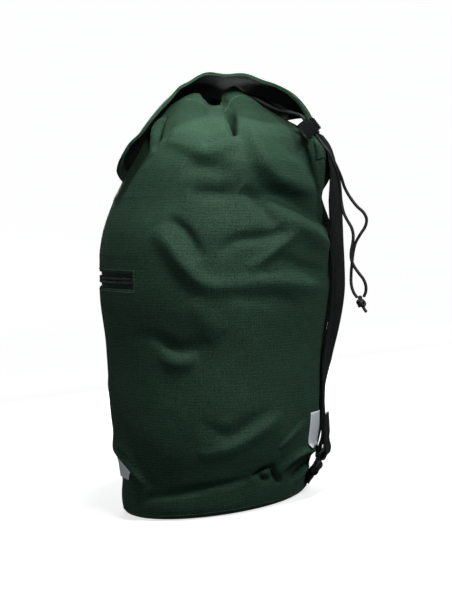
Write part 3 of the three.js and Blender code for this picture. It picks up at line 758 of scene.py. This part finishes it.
BACK_FOLDS = [
    ([(468, 232), (450, 220), (432, 210), (412, 204)], 4.5, 20, 20),
    ([(420, 226), (385, 218), (350, 210), (320, 205)], 4.5, 12, 12),
    ([(430, 262), (395, 252), (360, 240), (332, 226)], -4.0, 12, 12),
    ([(440, 292), (400, 300), (360, 296), (320, 280)], 5.0, 14, 13),
    ([(425, 325), (390, 330), (350, 322)], -4.0, 12, 12),
    ([(330, 250), (300, 232), (280, 212)], -3.2, 11, 11),
    ([(290, 290), (270, 268), (262, 240)], 3.2, 12, 12),
    ([(220, 310), (204, 290), (210, 268)], -2.6, 10, 10),
    ([(130, 330), (110, 306), (92, 280)], 2.4, 11, 11),
    ([(52, 200), (44, 216), (34, 240), (32, 270), (36, 300)], -4.2, 7, 5),
    ([(62, 196), (58, 214), (50, 232)], 3.4, 8, 7),
    ([(34, 300), (40, 330), (30, 355), (34, 380)], -3.2, 7, 5),
    ([(150, 210), (170, 222), (196, 228)], 2.2, 12, 12),
]


def fold_field(base, normal, folds):
    """Total height of the folds at each point of the upright base surface."""
    total = np.zeros(base.shape[:-1])
    for path, height, above, below in folds:
        line = catmull([skin(a, w) for w, a in path], 40)
        reach = 2.6 * max(above, below)
        near = ((base > line.min(0) - reach) & (base < line.max(0) + reach)).all(-1)
        points, outward = base[near], normal[near]
        best = np.full(len(points), 1e9)
        along = np.zeros(len(points))
        side = np.zeros(len(points))
        for i in range(len(line) - 1):
            a, b = line[i], line[i + 1]
            d = b - a
            t = np.clip((points - a) @ d / (d @ d), 0, 1)
            gap = points - (a + t[:, None] * d)
            distance = np.linalg.norm(gap, axis=-1)
            closer = distance < best
            best = np.where(closer, distance, best)
            along = np.where(closer, (i + t) / (len(line) - 1), along)
            side = np.where(closer, (gap * np.cross(outward, d)).sum(-1), side)
        width = np.where(side > 0, above, below) * FOLD_WIDTH
        ends = np.sin(np.pi * along) ** 0.6
        total[near] += height * FOLD_DEPTH * ends * np.exp(-((best / width) ** 2))
    return total


def zip_edges(azimuth, height):
    """1 at the edge of the zip opening, falling to 0 a few millimetres outside it."""
    out_w = np.maximum(np.maximum(ZIP_LOW - height, height - ZIP_TOP), 0)
    out_a = np.maximum(from_front(azimuth) - ZIP_ANGLE, 0) * MM_PER_DEGREE
    return np.exp(-((np.hypot(out_w, out_a) / 2.2) ** 2))


def columns_at():
    """Azimuths of the columns, with one exactly at each end of the zip."""
    inside = np.linspace(-ZIP_ANGLE, ZIP_ANGLE, COLUMNS * 2 * ZIP_ANGLE // 360 + 1)
    rest = np.linspace(ZIP_ANGLE, 360 - ZIP_ANGLE, COLUMNS - len(inside) + 2)[1:-1]
    return np.concatenate([inside, rest])


def rows_at():
    """Heights along the outline, evenly spaced by length, with a row at each zip edge."""
    even = resample(outline, ROWS)
    heights = even[:, 1]
    for edge in (ZIP_LOW, ZIP_TOP):
        heights[np.argmin(np.abs(heights - edge))] = edge
    return heights


azimuths = columns_at()
heights = rows_at()
climb = run_of(np.stack([outline_at(heights), heights], -1))  # along the cloth to each row


def twist_at(run, twist):
    return np.radians(np.interp(run, [a for a, _ in twist], [b for _, b in twist]))


def under_strap(cloth):
    """The upright cloth, pressed in where the strap lies over it."""
    line = catmull(STRAP_LINE[:STRAP_ONE_WAY], 400)
    angle = twist_at(run_of(line), TWIST)
    x, y, z = np.moveaxis(posture(cloth), -1, 0)
    strap_y = np.interp(z, line[::-1, 1], line[::-1, 0])
    turned = np.interp(z, line[::-1, 1], np.sin(angle)[::-1])
    beside = np.maximum(0, np.abs(x) - STRAP_WIDTH / 2 - 1)
    limit = strap_y - x * turned - STRAP_ROOM + 0.8 * beside
    at_strap = (y > 0) * (1 - smoothstep(412, 420, z)) * smoothstep(40, 46, z)
    cloth = cloth.copy()
    cloth[..., 1] -= np.maximum(0, y - limit) * at_strap
    return cloth


def sack_surface():
    """Upright points of the folded sack cloth's outer face."""
    grid_a, grid_w = np.meshgrid(azimuths, heights)
    base = skin(grid_a, grid_w)
    rim = np.array(RIM, float)
    rim = catmull(np.vstack([rim[-2:] - (360, 0, 0), rim, rim[:2] + (360, 0, 0)]), 1200)
    rim_r, rim_w = (np.interp(azimuths % 360, rim[:, 0], rim[:, k]) for k in (1, 2))
    start = np.interp(GATHER_FROM, heights, climb)
    share = np.clip((climb - start) / (climb[-1] - start), 0, 1)[:, None]
    a = np.radians(grid_a)
    r = outline_at(grid_w) + (rim_r[None, :] - outline_at(MOUTH)) * share ** 1.7
    w = grid_w + (rim_w[None, :] - MOUTH) * share ** 2.2
    shaped = ring_point(r, a, w)
    normal = normals_of(shaped)
    plain = normals_of(base)
    folds = fold_field(base, plain, FOLDS + CREASES + BACK_FOLDS)
    calm = 1 - smoothstep(452, 476, grid_w) * 0.8
    front = from_front(grid_a)
    by_zip = smoothstep(6, 26, np.abs(grid_w - ZIP_HEIGHT)) + smoothstep(60, 76, front)
    folds = folds * calm * np.clip(by_zip, 0.15, 1)
    waves = (
        0.7 * np.sin(3 * a + 0.4 + grid_w / 61) * np.sin(grid_w / 47 + 1.1)
        + 0.45 * np.sin(5 * a - 1.2 + grid_w / 38) * np.sin(grid_w / 29)
        + 0.25 * np.sin(11 * a + grid_w / 23) * np.sin(grid_w / 17 + 2 * np.sin(2 * a))
    ) * smoothstep(10, 60, grid_w) * np.clip(by_zip, 0.3, 1)
    folds = folds + waves - 0.9 * zip_edges(grid_a, grid_w)
    pocket = smoothstep(80, 68, front) * smoothstep(140, 155, grid_w) * smoothstep(300, 288, grid_w)
    folds = folds * (1 - 0.7 * pocket)
    return under_strap(shaped + normal * folds[..., None])


def cloth_uv(points_a, points_w):
    """Millimetres round the sack and up the cloth."""
    return np.stack([np.radians(points_a) * SACK_RADIUS, np.interp(points_w, heights, climb)], -1)


HEM_ROWS = 12
HEM_EXTRA, HEM_CROWN = 1.6, 1.6


def make_sack():
    """The canvas as a closed shell, with a thicker hem and the zip's opening cut through it."""
    outer = sack_surface()
    normal = normals_of(outer)
    grid_a, grid_w = np.meshgrid(azimuths, heights)
    hem = smoothstep(ROWS - HEM_ROWS - 1, ROWS - HEM_ROWS + 1, np.arange(ROWS))[:, None, None]
    inner = outer - normal * (CLOTH + HEM_EXTRA * hem)
    crown = (outer[-1:] + inner[-1:]) / 2 + (0, 0, HEM_CROWN)
    count = ROWS * COLUMNS
    slack = 1e-6
    inside = np.abs(azimuths) <= ZIP_ANGLE + slack
    level = (heights >= ZIP_LOW - slack) & (heights <= ZIP_TOP + slack)
    skip = np.zeros((ROWS - 1, COLUMNS), bool)
    rows = [i for i in range(ROWS - 1) if level[i] and level[i + 1]]
    columns = [j for j in range(COLUMNS) if inside[j] and inside[(j + 1) % COLUMNS]]
    skip[np.ix_(rows, columns)] = True
    faces = grid_faces(ROWS, COLUMNS, True, 0, False, skip)
    faces += grid_faces(ROWS, COLUMNS, True, count, True, skip)
    top = 2 * count
    for j in range(COLUMNS):
        k = (j + 1) % COLUMNS
        last, last_in = count - COLUMNS, 2 * count - COLUMNS
        faces.append([last + j, last + k, top + k, top + j])
        faces.append([top + j, top + k, last_in + k, last_in + j])
        faces.append([count + j, count + k, k, j])
    low, high = rows[0] * COLUMNS, (rows[-1] + 1) * COLUMNS
    left, right = columns[0], columns[-1] + 1
    cut = [(low + j, low + j + 1) for j in columns]
    cut += [(high + j + 1, high + j) for j in columns]
    cut += [((i + 1) * COLUMNS + left, i * COLUMNS + left) for i in rows]
    cut += [(i * COLUMNS + right, (i + 1) * COLUMNS + right) for i in rows]
    faces += [[a, b, count + b, count + a] for a, b in cut]
    uv = cloth_uv(grid_a, grid_w)
    uv_all = np.vstack([uv.reshape(-1, 2), uv.reshape(-1, 2), uv[-1] + (0, 2)])
    vertices = np.vstack([posture(face).reshape(-1, 3) for face in (outer, inner, crown)])
    sack = object_from("sack_cloth", vertices, faces, uv_all)
    dress(sack, "canvas", "sack", ["body_panel", "mouth_hem"])
    return outer, normal


outer, outer_normal = make_sack()


def on_sack(azimuth, height, lift=0.0):
    """Placed points on the folded cloth, and their normals."""
    row = np.interp(height, heights, np.arange(ROWS))
    turn = np.where(azimuth > 360 - ZIP_ANGLE, azimuth - 360, azimuth)
    column = np.interp(turn, azimuths, np.arange(COLUMNS))
    i = np.clip(row.astype(int), 0, ROWS - 2)
    j = column.astype(int) % COLUMNS
    k = (j + 1) % COLUMNS
    s, t = (row - i)[:, None], (column - column.astype(int))[:, None]

    def blend(table):
        return (
            table[i, j] * (1 - s) * (1 - t) + table[i, k] * (1 - s) * t
            + table[i + 1, j] * s * (1 - t) + table[i + 1, k] * s * t
        )

    place = blend(outer)
    normal = blend(outer_normal)
    point = posture(place + normal * lift)
    return point, unit(posture(place + normal * (lift + 1)) - point)


def bowl_faces(rows, columns, flipped=False):
    """Faces of two bowls joined at the rim, with one more vertex in the middle of each."""
    count = rows * columns
    faces = grid_faces(rows, columns, True, 0, flipped)
    faces += grid_faces(rows, columns, True, count, not flipped)
    last, last_in = count - columns, 2 * count - columns
    for j in range(columns):
        k = (j + 1) % columns
        rim = [last + j, last + k, last_in + k, last_in + j]
        low, high = [k, j, 2 * count], [count + j, count + k, 2 * count + 1]
        faces += [face[::-1] if flipped else face for face in (rim, low, high)]
    return faces


def make_base():
    """The round bottom: a flat disc of the same canvas, turned up at its edge."""
    profile = [(30, 0.6), (60, 0.4), (85, 0.2), (98, 0.3), (103, 0.5)]
    rings = [ring_point(r, np.radians(azimuths), w) for r, w in profile]
    rings = np.array(rings + [outer[0] * (0.996, 0.996, 1)])
    top = rings + (0, 0, 1.2)
    rows = len(rings)
    middle = np.array([(0, 0, 0.8), (0, 0, 2.0)])
    vertices = np.vstack([posture(level).reshape(-1, 3) for level in (rings, top, middle)])
    under = vertices[:rows * COLUMNS]
    under[:, 2] = np.maximum(under[:, 2], 0.05)
    faces = bowl_faces(rows, COLUMNS, True)
    base = object_from("base_cloth", vertices, faces, vertices[:, :2])
    dress(base, "canvas", "sack", ["base_panel"])


LINING_STOP = 9  # rows short of the rim
LINING_GAP, LINING_CLOTH, LINING_FLOOR = 2.2, 0.7, 3.2
POCKET_ROOM = 6.5


def make_lining():
    """The black lining inside, from the base up to the mouth's casing."""
    rows = list(range(0, ROWS - LINING_STOP, 2))
    columns = list(range(0, COLUMNS, 2))
    grid_a, grid_w = np.meshgrid(azimuths[columns], heights[rows])
    pocket = smoothstep(78, 66, from_front(grid_a)) * smoothstep(120, 150, grid_w)
    room = POCKET_ROOM * pocket * smoothstep(310, 290, grid_w)
    gap = (CLOTH + LINING_GAP + room)[..., None]
    inward = outer_normal[np.ix_(rows, columns)]
    skin_out = outer[np.ix_(rows, columns)] - inward * gap
    skin_in = skin_out - inward * LINING_CLOTH
    skin_out[0, :, 2] = np.maximum(skin_out[0, :, 2], LINING_FLOOR)
    middle = np.array([(0, 0, LINING_FLOOR), (0, 0, LINING_FLOOR + 0.8)])
    vertices = np.vstack([posture(face).reshape(-1, 3) for face in (skin_out, skin_in, middle)])
    faces = bowl_faces(len(rows), len(columns))
    uv = cloth_uv(grid_a, grid_w).reshape(-1, 2)
    lining = object_from("lining_cloth", vertices, faces, np.vstack([uv, uv, [[0, 0], [0, 0]]]))
    dress(lining, "lining", "sack", ["lining"])


def make_drawcord_loop():
    """The cord inside the mouth's casing, between the eyelets."""
    turn = np.linspace(-148, 148, 120)  # from one eyelet round the front to the other
    points, _ = on_sack(turn % 360, np.full(turn.shape, heights[-3]), -1.5)
    loop = tube("cord_in_casing", catmull(points[::4], 260), 1.0, 8)
    dress(loop, "cord", "sack", ["drawcord_in_hem"])


make_base()
make_lining()
make_drawcord_loop()


# ---- lid flap
HINGE = (172.5, 420.5)
FLAP_LINE = [  # (y, z) of the flap's middle, from the seam over the mouth to the front
    HINGE, (171.5, 430), (168.5, 442), (162, 454), (151.5, 466), (134, 477.5), (111, 486),
    (84, 490.5), (55, 491.5), (35, 489.5), (15, 480.5), (-2, 468), (-18, 453.5), (-36, 434),
    (-50, 415), (-65, 394),
]
FLAP_HALF, FLAP_ROOT = 97, 38  # half widths
FLAP_CLOTH, FLAP_GAP = 1.4, 0.35
CORNER_CUT = 34
SLUMP = 28  # how far the -X side sinks behind the mouth
FRONT_CURL = 6.5
flap_line = catmull(FLAP_LINE, 900)
flap_slope = unit(np.gradient(flap_line, axis=0))
FLAP_LENGTH = line_length(flap_line)


def flap_place(x, along, out):
    """x from -1 to 1 across, along from 0 at the hinge seam to 1, out from the underside."""
    u = along * FLAP_LENGTH
    half = FLAP_ROOT + (FLAP_HALF - FLAP_ROOT) * smoothstep(12, 100, u)
    side = x * half
    far = (side / FLAP_HALF) ** 2
    cut = CORNER_CUT / FLAP_LENGTH * np.abs(side / FLAP_HALF) ** 1.3 * along ** 2
    short = np.clip(along - cut, 0, 1)
    shares = np.linspace(0, 1, len(flap_line))
    at_y, at_z = (np.interp(short, shares, flap_line[:, k]) for k in (0, 1))
    ty, tz = (np.interp(short, shares, flap_slope[:, k]) for k in (0, 1))
    slump = np.where(x < 0, SLUMP * smoothstep(8, 50, u) * (1 - smoothstep(95, 165, u)), 0)
    settle = 4 * smoothstep(150, 200, u) * (1 - smoothstep(262, 292, u))
    droop = (3 * smoothstep(20, 90, u) + 14 * smoothstep(130, 215, u)) * far + slump * x * x + settle
    ripple = (
        1.5 * np.cos((u - 92) * 2 * math.pi / 48) * np.abs(x) ** 3
        * smoothstep(55, 80, u) * (1 - smoothstep(160, 190, u))
        + 0.8 * np.sin(u / 31 + 2.4 * x) * smoothstep(20, 60, u)
    )
    curl = FRONT_CURL * smoothstep(300, 320, short * FLAP_LENGTH)
    lift = out - droop - curl + ripple
    return np.stack([side, at_y + tz * lift, at_z - ty * lift], -1)


def flap_layer(name, low, high, material, node):
    """One layer of the flap, from low to high above its underside, rising from the seam and curving over
    the mouth.
    """
    columns, rows = 61, 150
    x, along = np.meshgrid(np.linspace(-1, 1, columns), np.linspace(0, 1, rows))
    edge = np.minimum(1 - np.abs(x), np.minimum(1 - along, along * 3) * 1.6)
    soft = np.clip(edge / 0.02, 0, 1) ** 0.5
    hem = 0.35 * (1 - smoothstep(0.07, 0.1, edge))
    middle = (low + high) / 2
    half = (high - low) / 2 * (0.4 + 0.6 * soft)
    top = flap_place(x, along, middle + half + hem * soft)
    bottom = flap_place(x, along, middle - half)
    uv = np.stack([x * FLAP_HALF, along * FLAP_LENGTH], -1)
    piece = slab(name, top, bottom, uv)
    piece.data.materials.append(materials[material])
    if material == "lining":
        piece.data.materials.append(materials["canvas"])
        at_edge = np.concatenate([edge.ravel()] * 2) < 0.085
        for face in piece.data.polygons:
            face.material_index = int(all(at_edge[v] for v in face.vertices))
    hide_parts(node)
    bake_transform(piece)


FLAP_OUTER = FLAP_CLOTH + FLAP_GAP
flap_layer("flap_under", 0.1, FLAP_CLOTH, "lining", "flap_lining")
flap_layer("flap_cloth", FLAP_OUTER, FLAP_OUTER + FLAP_CLOTH, "canvas", "flap_panel")


# ---- strap
def make_strip(name, points, thickness, width, rows, node, twist=((0, 0), (1, 0))):
    """A strip of webbing that follows (y, z) points, with rounded edges and a raised selvedge."""
    line = catmull(points, rows)
    tangent = unit(np.gradient(line, axis=0))
    along, centre = (np.insert(pair, 0, 0, axis=1) for pair in (tangent, line))
    facing = np.cross(along, (1.0, 0, 0))
    run = run_of(line)
    angle = twist_at(run, twist)[:, None]
    across = np.array([1.0, 0, 0]) * np.cos(angle) + facing * np.sin(angle)
    normal = np.cross(across, along)
    x = np.linspace(-1, 1, 25)
    rounded = 1 - 0.75 * np.clip((np.abs(x) - 0.94) / 0.06, 0, 1) ** 2
    bead = 0.25 * np.exp(-(((np.abs(x) - 0.9) / 0.05) ** 2))
    half = thickness / 2 * rounded + bead
    sway = 0.5 * np.sin(run / 23)[:, None] * x[None, :] ** 2
    middle = centre[:, None] + across[:, None] * (x * width / 2)[None, :, None]
    middle = middle + normal[:, None] * sway[..., None]
    top = middle + normal[:, None] * half[None, :, None]
    bottom = middle - normal[:, None] * half[None, :, None]
    uv = np.stack(np.broadcast_arrays(x[None, :] * width / 2, run[:, None]), -1)
    dress(slab(name, bottom, top, uv), "webbing", "sack", [node])


make_strip("strap_webbing", STRAP_LINE, 2.2, STRAP_WIDTH, 330, "strap", TWIST)
make_strip("buckle_webbing", LOOP_LINE, 1.8, STRAP_WIDTH - 3, 110, "lower_webbing")


def make_patch(name, place, size, thickness, lift, material, node, curl=0.0):
    """Cloth lying on the sack at place (azimuth, height), with soft edges; curl lifts one corner."""
    azimuth, height = place
    width, tall = size
    columns, rows = 41, 31
    x, v = np.meshgrid(np.linspace(-1, 1, columns), np.linspace(-1, 1, rows))
    radius = outline_at(height)
    a = azimuth + np.degrees(x * width / 2 / radius)
    w = height + v * tall / 2
    edge = np.minimum(1 - np.abs(x), 1 - np.abs(v))
    soft = np.clip(edge / 0.05, 0, 1) ** 0.5
    rise = lift + curl * np.clip(-v, 0, 1) ** 3 * np.clip(-x, 0, 1)
    point, normal = on_sack(a.ravel() % 360, w.ravel())
    point = point.reshape(rows, columns, 3)
    normal = normal.reshape(rows, columns, 3)
    low = point + normal * rise[..., None]
    high = point + normal * (rise + thickness * (0.3 + 0.7 * soft))[..., None]
    uv = np.stack([x * width / 2, v * tall / 2], -1)
    dress(slab(name, high, low, uv), material, "sack", [node])


LABEL = 0.7
make_patch("anchor_patch", (180, 420), (84, 34), 1.1, 0.9, "canvas", "strap_anchor_patch")
make_patch("side_label_cloth", (169.2, 92), (45, 46), LABEL, 0.3, "label", "side_label", 3.0)
make_patch("front_label_cloth", (24, 52), (60, 20), LABEL, 1.3, "label", "front_label")


# ---- zip
COIL_RADIUS = 136.85
COIL_ANGLE = ZIP_ANGLE - 1.5
COIL_PITCH, COIL_WIRE = 1.35, 0.42


def zip_coil(name, side, node):
    """A spiral of nylon whose turns stand across the gap, laid along the arc of the zip."""
    sweep = 2 * math.radians(COIL_ANGLE)
    turns = int(sweep * COIL_RADIUS / COIL_PITCH)
    t = np.linspace(0, turns, turns * 10)
    phase = 2 * math.pi * t + (0 if side > 0 else math.pi)
    across = side * (2.0 - 1.75 * np.cos(phase))
    out = 0.62 * np.sin(phase)
    path = posture(ring_point(COIL_RADIUS + out, (t / turns - 0.5) * sweep, ZIP_HEIGHT + across))
    dress(tube(name, path, COIL_WIRE, 6), "coil", "sack", [node])


zip_coil("coil_upper", 1, "zip_coil_upper")
zip_coil("coil_lower", -1, "zip_coil_lower")


# ---- stitching
ZIP_MARGIN = 3.2
BASE_SEAM = 6.5


def sack_line(azimuth, height, count):
    """Points and normals of a line on the sack between two azimuths and two heights."""
    return on_sack(np.linspace(*azimuth, count), np.linspace(*height, count), 0.05)


side = ZIP_ANGLE + ZIP_MARGIN / MM_PER_DEGREE
seam_low, seam_top = ZIP_LOW - ZIP_MARGIN, ZIP_TOP + ZIP_MARGIN
stitches("zip_stitching", [
    sack_line((-side, side), (seam_top, seam_top), 400),
    sack_line((-side, side), (seam_low, seam_low), 400),
    sack_line((side, side), (seam_low, seam_top), 30),
    sack_line((-side, -side), (seam_low, seam_top), 30),
])
stitches("casing_stitching", [sack_line((0, 359.9), (heights[-HEM_ROWS],) * 2, 600)])
stitches("base_stitching", [sack_line((0, 359.9), (BASE_SEAM, BASE_SEAM), 700)])


# ---- spring in the cord lock
SPRING_FOOT, SPRING_HEAD = -7.55, -4.9
SPRING_RADIUS = 3
SPRING_WIRE = 0.35
SPRING_TURNS = 2.5


def make_spring():
    """The coil under the button, at one fixed length."""
    t = np.linspace(0, 1, 91)[:, None]
    turn = t * SPRING_TURNS * 2 * math.pi
    rise = SPRING_FOOT + (SPRING_HEAD - SPRING_FOOT) * t
    round_it = np.cos(turn) * np.array([1.0, 0, 0]) + np.sin(turn) * LOCK_DOWN
    path = LOCK_AT + SPRING_RADIUS * round_it + rise * LOCK_OUT
    spring = tube("lock_spring", path, SPRING_WIRE, 8)
    dress(spring, "metal", "cord_lock", ["cord_lock_spring"])
    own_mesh(spring)


make_spring()


# ---- CAD pieces that stay
cad_looks(["cord_lock_body", "ladder_lock"], "plastic", 1.1)
cad_looks(["cord_lock_button"], "plastic", 0.4)
cad_looks(
    ["eyelet_left", "eyelet_right", "flap_snap_cap", "flap_snap_socket", "body_snap_stud",
     "zip_stop_left", "zip_stop_right", "zip_slider", "zip_puller"],
    "metal",
)
cad_looks(["zip_tape_upper", "zip_tape_lower"], "tape")
cad_looks(["zip_pocket_bag"], "lining")
